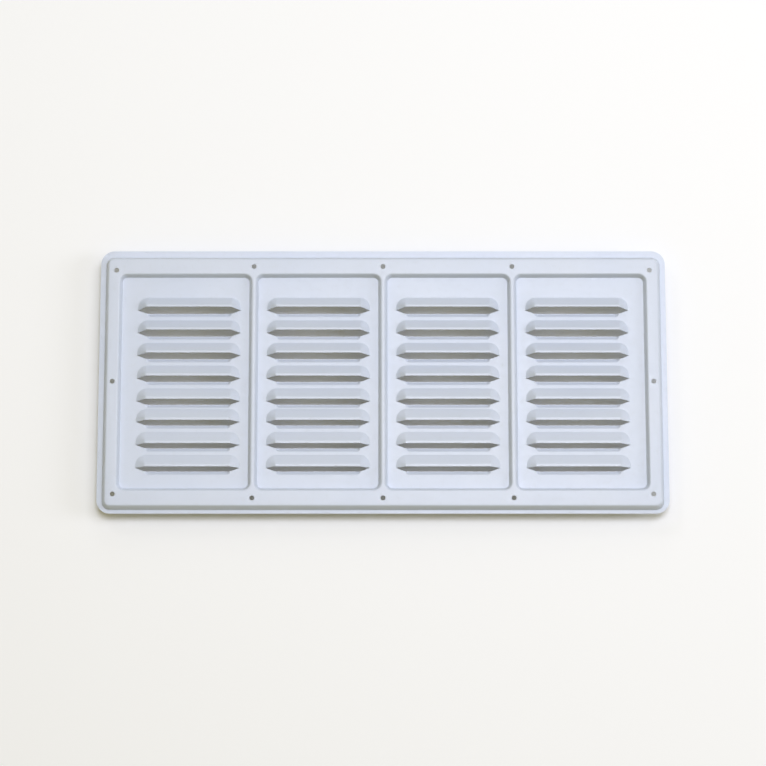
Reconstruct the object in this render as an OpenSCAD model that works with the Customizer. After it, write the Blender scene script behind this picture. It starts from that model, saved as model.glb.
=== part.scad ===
// Refrigerator vent grille, pressed from one painted aluminium sheet.
// The back of the flange lies on Z = 0 and the face looks along +Z.
// X runs along the width and +Y points to the upper edge, so the louvres open towards -Y.
// The sheet is laid out as rectangular tiles that meet face to face: straight bends are
// extruded sections, and round bends are quarter turns of the same sections.

/* [Outline] */
// Width of the trimmed sheet
overall_w = 500; // [480:1:560]
// Height of the trimmed sheet
overall_h = 235; // [225:1:300]
// Radius of the trimmed corners
outline_corner_r = 12; // [4:0.5:16]
// Thickness of the sheet
sheet_t = 1; // [0.7:0.1:1.3]

/* [Flange and raised frame] */
// Width of the flat flange at the upper edge
flange_top_w = 5.5; // [3:0.1:10]
// Width of the flat flange at the lower edge
flange_bottom_w = 2.8; // [2:0.1:10]
// Width of the flat flange at each side
flange_side_w = 4.3; // [2:0.1:8]
// Height of the raised frame above the flange
frame_rise = 7; // [6:0.1:10]
// Width of the step from the flange to the raised frame, seen from the front
step_run = 4.2; // [3.5:0.1:6]
// Radius of the raised frame's own corners
frame_corner_r = 3.5; // [1:0.5:8]
// Width of the raised frame along the upper and lower edges
land_w = 11.6; // [10:0.1:16]
// Width of the raised frame at each side
side_land_w = 8; // [6:0.1:12]
// Radius of the bends, to the middle of the sheet
bend_r = 1.2; // [1:0.1:1.4]

/* [Panels and ribs] */
// Distance between neighbouring ribs, and between neighbouring louvre columns
panel_pitch = 114; // [110:0.5:117]
// Width of a rib's flat top
rib_flat_w = 1.4; // [1:0.1:6]
// Height of the panels above the flange
panel_rise = 2; // [2:0.1:3.5]
// Width of the panel walls, seen from the front
panel_wall_run = 3.7; // [3.2:0.1:5]
// Radius of the panel corners at the foot of the wall
panel_corner_r = 4; // [2:0.5:8]

/* [Louvres] */
// Distance between the slits of neighbouring rows
row_pitch = 20.4; // [20:0.1:30]
// Number of rows in the upper bank
upper_rows = 5; // [2:1:6]
// How much closer the lower bank sits to the upper bank
bank_shift = 1.9; // [0:0.1:1.9]
// Distance from the foot of the upper panel wall to the first slit
first_slit = 29.1; // [20:0.1:40]
// Least distance from the last slit to the foot of the lower panel wall
last_slit = 17; // [12:0.5:40]
// Length of the straight part of each lip
lip_w = 73.4; // [40:0.2:76]
// Height of the upper row's lips above the panel
first_lip_rise = 7.4; // [3:0.1:8]
// Height of the lower row's lips above the panel
last_lip_rise = 3.4; // [2:0.1:8]
// Distance from a slit to the fold where its hood starts to rise
hood_len = 11.8; // [10:0.1:12]
// Length of the level crest behind the slit, with the lip at its front
crest_len = 2.8; // [2.4:0.1:3.5]
// How far a lip is drawn back from its slit for each millimetre of height
lip_draw = 0.25; // [0:0.01:0.26]
// Radius of the bends in a hood, to the middle of the sheet
hood_bend_r = 2; // [1.2:0.1:2.5]
// Distance from a slit to the pressed-in lower edge of its opening
sill_drop = 3; // [1:0.1:3.4]
// How much further than the lip the sill reaches at each end
sill_reach = 1; // [0:0.1:2]
// Width of the sloping sill under each opening
sill_run = 3.5; // [2.8:0.1:3.6]
// Depth of the sill's edge below the panel
sill_depth = 1.6; // [0.5:0.1:1.9]
// Radius of the bends in a sill, to the middle of the sheet
sill_bend_r = 1.4; // [1:0.1:1.8]

/* [Screw holes] */
// Diameter of the twelve screw holes
screw_hole_d = 4.4; // [3:0.1:5.5]
// Distance of the corner holes from the side edges of the raised frame
corner_hole_in_x = 6; // [5:0.1:8]
// Distance of the corner holes from the upper and lower edges of the raised frame
corner_hole_in_y = 9.2; // [5:0.1:10]

/* [Hidden] */
paint = [0.86, 0.88, 0.91];
$fn = 64;

// Straight steps in each bend of a section
bend_steps = 3;
grid = 0.001;
// Flat strip that each tile keeps beyond its bends
tile_margin = 0.3;
louvre_margin = 0.05;
// Level middle of each quarter-turned end, at the crest of a hood and at the edge of a sill
end_core_r = 0.3;
tool_reach = 40;
diagonal = 1.5;

// The raised field, from the foot of the step inwards
field_y = (flange_bottom_w - flange_top_w) / 2;
frame_hw = overall_w / 2 - flange_side_w - step_run;
frame_hh = (overall_h - flange_top_w - flange_bottom_w) / 2 - step_run;
inner_hw = frame_hw - side_land_w;
inner_hh = frame_hh - land_w;
panel_depth = frame_rise - panel_rise;

// The four openings in the raised frame: [middle, half width, middle of the louvres]
panel_corner_edge = panel_corner_r + panel_wall_run;
rib_edge = rib_flat_w / 2;
inner_x = panel_pitch / 2;
inner_half_w = inner_x - rib_edge;
outer_x = (inner_hw + panel_pitch + rib_edge) / 2;
outer_half_w = inner_hw - outer_x;
places = [
    [-outer_x, outer_half_w, -panel_pitch - inner_x],
    [-inner_x, inner_half_w, -inner_x],
    [inner_x, inner_half_w, inner_x],
    [outer_x, outer_half_w, panel_pitch + inner_x]
];

// Louvre rows
floor_top = inner_hh - panel_wall_run;
row_room = 2 * floor_top - first_slit - last_slit + bank_shift;
rows = 1 + floor(row_room / row_pitch);
hood_run = hood_len - crest_len;
tip_x = lip_w / 2 + hood_run;
sill_x = lip_w / 2 + sill_reach;
tile_x = tip_x + louvre_margin;
tile_up = hood_len + louvre_margin;
tile_down = sill_drop + sill_run + louvre_margin;

function slit_y(row) = floor_top - first_slit - row * row_pitch
    + (row < upper_rows ? 0 : bank_shift);
function lip_rise(row) = on_grid([first_lip_rise
    + (last_lip_rise - first_lip_rise) * row / max(rows - 1, 1)])[0];

// Half-angle tangent of the slope that joins two equal bends
function double_bend(run, rise, r) = rise / (run + sqrt(run * run + rise * (rise - 4 * r)));
function bend_angles(slope) = [for (i = [0 : bend_steps]) slope * i / bend_steps];
function reversed(list) = [for (i = [len(list) - 1 : -1 : 0]) list[i]];
// Points and places on a grid, so that tiles which meet share the same numbers
function on_grid(p) = [for (v = p) round(v / grid) * grid];

// One face of a sheet that falls from [0, rise] to [run, 0] through two bends
function fall_face(run, rise, r, offset, slope) = concat(
    [for (a = bend_angles(slope)) [(r + offset) * sin(a), rise - r + (r + offset) * cos(a)]],
    [for (a = reversed(bend_angles(slope))) [run - (r - offset) * sin(a), r - (r - offset) * cos(a)]]);

// Section of that sheet, from a level run-in at -high to the end of its level run-out at run + low
function fall_section(high, run, rise, r, low) =
    let (slope = 2 * atan(double_bend(run, rise, r)),
         upper = concat([[-high, rise + sheet_t / 2]],
                        fall_face(run, rise, r, sheet_t / 2, slope),
                        [[run + low, sheet_t / 2]]),
         lower = concat([[-high, rise - sheet_t / 2]],
                        fall_face(run, rise, r, -sheet_t / 2, slope),
                        [[run + low, -sheet_t / 2]]))
    [for (p = concat(upper, reversed(lower))) on_grid(p + [0, sheet_t / 2])];

// The section with its first coordinate measured from another point, forwards or backwards
function moved(section, x) = [for (p = section) [p[0] + x, p[1]]];
function turned(section, x) = [for (p = section) [x - p[0], p[1]]];

// A section run along X: its first coordinate points along +Y
module along_x(length) {
    translate([-length / 2, 0, 0])
        rotate([90, 0, 90])
            linear_extrude(length) children();
}

// A section run along Y: its first coordinate points along +X
module along_y(length) {
    translate([0, length / 2, 0])
        rotate([90, 0, 0])
            linear_extrude(length) children();
}

// A quarter turn of a section in the quadrant of +X and +Y, cut square
module quarter_tile(section, reach) {
    intersection() {
        rotate_extrude(angle = 90) polygon(section);
        translate([0, 0, -tool_reach]) cube([reach, reach, 2 * tool_reach]);
    }
}

module rounded_plate(w, h, r) {
    square([w - 2 * r, h], center = true);
    square([w, h - 2 * r], center = true);
    for (sx = [-1, 1], sy = [-1, 1])
        translate([sx * (w / 2 - r), sy * (h / 2 - r)]) circle(r);
}

// Flange and step all round, trimmed to the outline
module flange_and_step() {
    blank = flange_top_w + flange_side_w + outline_corner_r;
    reach = frame_corner_r + step_run + blank;
    core_w = frame_hw - frame_corner_r;
    core_h = frame_hh - frame_corner_r;
    straight = fall_section(frame_corner_r, step_run, frame_rise, bend_r, blank);
    round = moved(fall_section(frame_corner_r, step_run, frame_rise, bend_r,
                               diagonal * reach - step_run), frame_corner_r);
    intersection() {
        translate([0, field_y, 0]) {
            for (turn = [0, 180])
                rotate(turn) {
                    translate([0, frame_hh, 0]) along_x(2 * core_w) polygon(straight);
                    translate([frame_hw, 0, 0]) along_y(2 * core_h) polygon(straight);
                }
            for (sx = [0, 1], sy = [0, 1])
                mirror([sx, 0, 0]) mirror([0, sy, 0])
                    translate([core_w, core_h, 0]) quarter_tile(round, reach);
        }
        translate([0, 0, -tool_reach])
            linear_extrude(2 * tool_reach)
                rounded_plate(overall_w, overall_h, outline_corner_r);
    }
}

// Flat top of the frame and ribs, open over the four panels
module frame_top() {
    core_w = frame_hw - frame_corner_r;
    core_h = frame_hh - frame_corner_r;
    translate([0, 0, frame_rise])
        linear_extrude(sheet_t)
            difference() {
                square(2 * [core_w, core_h], center = true);
                for (place = places)
                    translate([place[0], 0])
                        square(2 * [place[1] + tile_margin, inner_hh + tile_margin], center = true);
            }
}

// Walls of one panel, from its floor up to the frame
module panel_walls(half_w) {
    core_w = half_w - panel_corner_edge;
    core_h = inner_hh - panel_corner_edge;
    reach = panel_corner_edge + tile_margin;
    wall = turned(fall_section(tile_margin, panel_wall_run, panel_depth, bend_r, panel_corner_r),
                  panel_corner_edge);
    corner = turned(fall_section(diagonal * reach - panel_corner_edge, panel_wall_run,
                                 panel_depth, bend_r, panel_corner_r), panel_corner_edge);
    for (turn = [0, 180])
        rotate(turn) {
            translate([0, core_h, 0]) along_x(2 * core_w) polygon(wall);
            translate([core_w, 0, 0]) along_y(2 * core_h) polygon(wall);
        }
    for (sx = [0, 1], sy = [0, 1])
        mirror([sx, 0, 0]) mirror([0, sy, 0])
            translate([core_w, core_h, 0]) quarter_tile(corner, reach);
}

// Floor of one panel, open where the louvre tiles go
module panel_floor(half_w, louvre_x) {
    core_w = half_w - panel_corner_edge;
    core_h = inner_hh - panel_corner_edge;
    linear_extrude(sheet_t)
        difference() {
            square(2 * [core_w, core_h], center = true);
            for (row = [0 : rows - 1])
                translate([louvre_x - tile_x, slit_y(row) - tile_down])
                    square([2 * tile_x, tile_up + tile_down]);
        }
}

// Section of a hood from its level crest, which starts at 0, down to the panel
function hood_section(rise, level) =
    moved(fall_section(end_core_r, hood_run, rise, hood_bend_r, level), end_core_r);

// Hood above one slit: a slope, two round ends and a crest that ends at the lip
module hood(rise) {
    core_x = lip_w / 2 - end_core_r;
    core_y = crest_len - end_core_r;
    reach = end_core_r + hood_run + louvre_margin;
    slope = hood_section(rise, louvre_margin);
    draw = on_grid([lip_draw * rise])[0];
    right_fall = moved(slope, core_x);
    crest = concat(right_fall, turned(reversed(right_fall), 0));
    translate([0, core_y, 0]) {
        along_x(2 * core_x) polygon(slope);
        for (side = [0, 1])
            mirror([side, 0, 0])
                translate([core_x, 0, 0])
                    quarter_tile(hood_section(rise, diagonal * reach - hood_run), reach);
    }
    difference() {
        translate([0, core_y / 2, 0]) along_y(core_y) polygon(crest);
        translate([0, 0, -tool_reach])
            linear_extrude(2 * tool_reach)
                polygon([[-tip_x, 0], [-lip_w / 2, draw], [lip_w / 2, draw], [tip_x, 0],
                         [tip_x, -1], [-tip_x, -1]]);
    }
}

// Section of a sill from its pressed-in edge, which starts at 0, up to the panel
function sill_section(level) =
    [for (p = turned(fall_section(level, sill_run - end_core_r, sill_depth, sill_bend_r, end_core_r),
                     sill_run - end_core_r)) on_grid([p[0] + end_core_r, p[1] - sill_depth])];

// Sill below one slit: flat cheeks beside the opening and a slope pressed inwards
module sill() {
    core_x = sill_x - sill_run;
    reach = sill_run + louvre_margin;
    for (side = [0, 1])
        mirror([side, 0, 0]) {
            linear_extrude(sheet_t)
                polygon([[sill_x, -sill_drop], [tip_x, 0], [tile_x, 0], [tile_x, -tile_down],
                         [core_x + reach, -tile_down], [core_x + reach, -sill_drop]]);
            translate([core_x, -sill_drop, 0])
                mirror([0, 1, 0])
                    quarter_tile(sill_section(diagonal * reach - sill_run), reach);
        }
    translate([0, -sill_drop, 0])
        mirror([0, 1, 0])
            along_x(2 * core_x) polygon(sill_section(louvre_margin));
}

module louvre(rise) {
    union() {
        hood(rise);
        sill();
    }
}

// One panel: its walls, its floor and its column of louvres
module panel(half_w, louvre_x) {
    panel_walls(half_w);
    panel_floor(half_w, louvre_x);
    for (row = [0 : rows - 1])
        translate([louvre_x, slit_y(row), 0]) louvre(lip_rise(row));
}

module screw_hole(x, y) {
    translate([x, y, frame_rise - 1]) cylinder(d = screw_hole_d, h = sheet_t + 2);
}

module screw_holes() {
    land_y = frame_hh - land_w / 2;
    for (sy = [-1, 1]) {
        for (i = [-1 : 1])
            screw_hole(i * panel_pitch, sy * land_y);
        for (sx = [-1, 1])
            screw_hole(sx * (frame_hw - corner_hole_in_x), sy * (frame_hh - corner_hole_in_y));
    }
    for (sx = [-1, 1])
        screw_hole(sx * (frame_hw - side_land_w / 2), 0);
}

// Flange, step and frame top in one, with the screw holes
module drilled_frame() {
    difference() {
        union() {
            flange_and_step();
            translate([0, field_y, 0]) frame_top();
        }
        translate([0, field_y, 0]) screw_holes();
    }
}

module grille() {
    color(paint)
        union() {
            drilled_frame();
            for (place = places)
                translate([place[0], field_y, panel_rise])
                    panel(place[1], place[2] - place[0]);
        }
}

grille();
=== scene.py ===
import bpy
import math
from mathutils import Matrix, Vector

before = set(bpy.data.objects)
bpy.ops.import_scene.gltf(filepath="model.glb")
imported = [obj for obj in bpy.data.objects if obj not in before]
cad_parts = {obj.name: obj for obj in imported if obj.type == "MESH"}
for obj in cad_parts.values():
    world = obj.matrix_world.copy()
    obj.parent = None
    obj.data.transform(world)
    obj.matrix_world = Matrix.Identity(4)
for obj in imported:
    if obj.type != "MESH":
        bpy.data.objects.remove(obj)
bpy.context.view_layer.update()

scene = bpy.context.scene
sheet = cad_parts["grille"]


# Camera: a distant camera that looks at the sheet from slightly below the normal of its face
CAMERA_ELEVATION = 79.0
CAMERA_DISTANCE = 2.3
CAMERA_LENS = 123.0
AIM = Vector((0.0, -0.0020, 0.003))


def make_camera():
    data = bpy.data.cameras.new("camera")
    data.lens = CAMERA_LENS
    data.sensor_width = 36.0
    camera = bpy.data.objects.new("camera", data)
    scene.collection.objects.link(camera)
    elevation = math.radians(CAMERA_ELEVATION)
    back = Vector((0.0, -math.cos(elevation), math.sin(elevation)))
    camera.location = AIM + CAMERA_DISTANCE * back
    camera.rotation_euler = (-back).to_track_quat("-Z", "Y").to_euler()
    scene.camera = camera


# Lamps: name, direction from the sheet, size, watts, colour. They are cool and the world is warm, so that
# together they light the flat face evenly in white and leave a warm tint in the hollows
LAMP_DISTANCE = 3.0
LAMPS = [
    ("lamp_front", (0.05, 0.15, 1.0), 1.2, 46.5, (0.81, 0.84, 1.0)),
    ("lamp_front_right", (0.45, 0.35, 1.0), 1.3, 18.0, (0.81, 0.84, 1.0)),
    ("lamp_top", (0.0, 1.0, 0.55), 1.3, 5.7, (0.81, 0.84, 1.0)),
    ("lamp_right", (1.0, 0.0, 0.5), 1.3, 23.8, (0.81, 0.84, 1.0)),
    ("lamp_top_left", (-0.6, 0.8, 0.8), 0.5, 5.7, (0.84, 0.87, 1.0)),
]


def make_lamps():
    for name, direction, size, watts, colour in LAMPS:
        data = bpy.data.lights.new(name, "AREA")
        data.shape = "DISK"
        data.size = size
        data.energy = watts
        data.color = colour
        lamp = bpy.data.objects.new(name, data)
        scene.collection.objects.link(lamp)
        away = Vector(direction).normalized()
        lamp.location = AIM + LAMP_DISTANCE * away
        lamp.rotation_euler = (-away).to_track_quat("-Z", "Y").to_euler()


def make_world():
    world = bpy.data.worlds.new("studio")
    world.use_nodes = True
    background = world.node_tree.nodes["Background"]
    background.inputs["Color"].default_value = (1.0, 0.87, 0.28, 1.0)
    background.inputs["Strength"].default_value = 0.263
    scene.world = world


def node(tree, kind, x, y, **settings):
    made = tree.nodes.new(kind)
    made.location = (x, y)
    for key, value in settings.items():
        if key in made.inputs:
            made.inputs[key].default_value = value
        else:
            setattr(made, key, value)
    return made


def noise(tree, vector, x, y, scale, detail, roughness=0.5):
    made = node(tree, "ShaderNodeTexNoise", x, y, Scale=scale, Detail=detail, Roughness=roughness)
    tree.links.new(vector, made.inputs["Vector"])
    return made.outputs["Fac"]


def spread(tree, value, x, y, low, high, to_low, to_high):
    made = node(tree, "ShaderNodeMapRange", x, y)
    made.inputs["From Min"].default_value = low
    made.inputs["From Max"].default_value = high
    made.inputs["To Min"].default_value = to_low
    made.inputs["To Max"].default_value = to_high
    tree.links.new(value, made.inputs["Value"])
    return made.outputs["Result"]


def mixed(tree, factor, x, y, first, second):
    made = node(tree, "ShaderNodeMix", x, y, data_type="RGBA")
    tree.links.new(factor, made.inputs["Factor"])
    for socket, colour in ((made.inputs["A"], first), (made.inputs["B"], second)):
        if isinstance(colour, tuple):
            socket.default_value = (*colour, 1.0)
        else:
            tree.links.new(colour, socket)
    return made.outputs["Result"]


def bump(tree, height, normal, x, y, strength, distance):
    made = node(tree, "ShaderNodeBump", x, y, Strength=strength, Distance=distance)
    tree.links.new(height, made.inputs["Height"])
    if normal is not None:
        tree.links.new(normal, made.inputs["Normal"])
    return made.outputs["Normal"]


def paint_material():
    material = bpy.data.materials.new("satin_paint")
    material.use_nodes = True
    tree = material.node_tree
    shader = tree.nodes["Principled BSDF"]
    place = node(tree, "ShaderNodeTexCoord", -1500, 0).outputs["Object"]
    clouds = noise(tree, place, -1250, 300, 14.0, 3.0)
    specks = noise(tree, place, -1250, 80, 260.0, 4.0, 0.6)
    peel = noise(tree, place, -1250, -140, 900.0, 2.0)
    waves = noise(tree, place, -1250, -360, 9.0, 1.0)
    cloud_share = spread(tree, clouds, -1000, 300, 0.35, 0.65, 0.0, 1.0)
    speck_share = spread(tree, specks, -1000, 80, 0.55, 0.8, 0.0, 0.35)
    ground = mixed(tree, cloud_share, -760, 300, (0.602, 0.653, 0.752), (0.622, 0.669, 0.758))
    colour = mixed(tree, speck_share, -520, 300, ground, (0.573, 0.611, 0.658))
    tree.links.new(colour, shader.inputs["Base Color"])
    tree.links.new(spread(tree, specks, -520, 60, 0.3, 0.7, 0.33, 0.42), shader.inputs["Roughness"])
    broad = bump(tree, waves, None, -520, -360, 0.5, 0.0015)
    fine = bump(tree, peel, broad, -280, -200, 0.12, 0.00015)
    tree.links.new(fine, shader.inputs["Normal"])
    return material


def even_shading(target):
    """Joins the split facets and shades them as one bent sheet, with its cut edges kept sharp."""
    mesh = target.data
    if "custom_normal" in mesh.attributes:
        mesh.attributes.remove(mesh.attributes["custom_normal"])
    tree = bpy.data.node_groups.new("even_shading", "GeometryNodeTree")
    tree.interface.new_socket("Geometry", in_out="INPUT", socket_type="NodeSocketGeometry")
    tree.interface.new_socket("Geometry", in_out="OUTPUT", socket_type="NodeSocketGeometry")
    entry = tree.nodes.new("NodeGroupInput")
    merge = tree.nodes.new("GeometryNodeMergeByDistance")
    merge.inputs["Distance"].default_value = 0.000002
    smooth_faces = tree.nodes.new("GeometryNodeSetShadeSmooth")
    smooth_faces.domain = "FACE"
    smooth_edges = tree.nodes.new("GeometryNodeSetShadeSmooth")
    smooth_edges.domain = "EDGE"
    angle = tree.nodes.new("GeometryNodeInputMeshEdgeAngle")
    small = tree.nodes.new("FunctionNodeCompare")
    small.operation = "LESS_THAN"
    small.inputs["B"].default_value = math.radians(34)
    leave = tree.nodes.new("NodeGroupOutput")
    tree.links.new(entry.outputs["Geometry"], merge.inputs["Geometry"])
    tree.links.new(merge.outputs["Geometry"], smooth_faces.inputs["Geometry"])
    tree.links.new(smooth_faces.outputs["Geometry"], smooth_edges.inputs["Geometry"])
    tree.links.new(angle.outputs["Unsigned Angle"], small.inputs["A"])
    tree.links.new(small.outputs["Result"], smooth_edges.inputs["Shade Smooth"])
    tree.links.new(smooth_edges.outputs["Geometry"], leave.inputs["Geometry"])
    target.modifiers.new("even_shading", "NODES").node_group = tree
    weighted = target.modifiers.new("flat_faces_first", "WEIGHTED_NORMAL")
    weighted.mode = "FACE_AREA"
    weighted.weight = 50
    weighted.keep_sharp = True


# The floor: one plain pale surface a little below the sheet, as a sheet held over a cut-out has nothing
# close behind it. The camera and reflections see it slightly lifted towards white
FLOOR_HALF = 6.0
FLOOR_LEVEL = -0.014
FLOOR_COLOUR = (0.93, 0.93, 0.93, 1.0)
FLOOR_LIFT = 0.06


def make_floor():
    mesh = bpy.data.meshes.new("floor")
    corners = [(-FLOOR_HALF, -FLOOR_HALF), (FLOOR_HALF, -FLOOR_HALF),
               (FLOOR_HALF, FLOOR_HALF), (-FLOOR_HALF, FLOOR_HALF)]
    mesh.from_pydata([(x, y, FLOOR_LEVEL) for x, y in corners], [], [(0, 1, 2, 3)])
    floor = bpy.data.objects.new("floor", mesh)
    scene.collection.objects.link(floor)
    material = bpy.data.materials.new("white_floor")
    material.use_nodes = True
    tree = material.node_tree
    shader = tree.nodes["Principled BSDF"]
    shader.inputs["Base Color"].default_value = FLOOR_COLOUR
    shader.inputs["Roughness"].default_value = 0.9
    shader.inputs["Specular IOR Level"].default_value = 0.2
    shader.inputs["Emission Color"].default_value = (1.0, 1.0, 1.0, 1.0)
    path = node(tree, "ShaderNodeLightPath", -780, -400)
    seen = node(tree, "ShaderNodeMath", -560, -400, operation="MAXIMUM")
    tree.links.new(path.outputs["Is Camera Ray"], seen.inputs[0])
    tree.links.new(path.outputs["Is Glossy Ray"], seen.inputs[1])
    lift = node(tree, "ShaderNodeMath", -340, -400, operation="MULTIPLY")
    tree.links.new(seen.outputs["Value"], lift.inputs[0])
    lift.inputs[1].default_value = FLOOR_LIFT
    tree.links.new(lift.outputs["Value"], shader.inputs["Emission Strength"])
    floor.data.materials.append(material)


make_camera()
make_lamps()
make_world()
paint = paint_material()
for slot in sheet.material_slots:
    slot.material = paint
even_shading(sheet)
make_floor()

scene.view_settings.view_transform = "Standard"

bpy.context.view_layer.update()
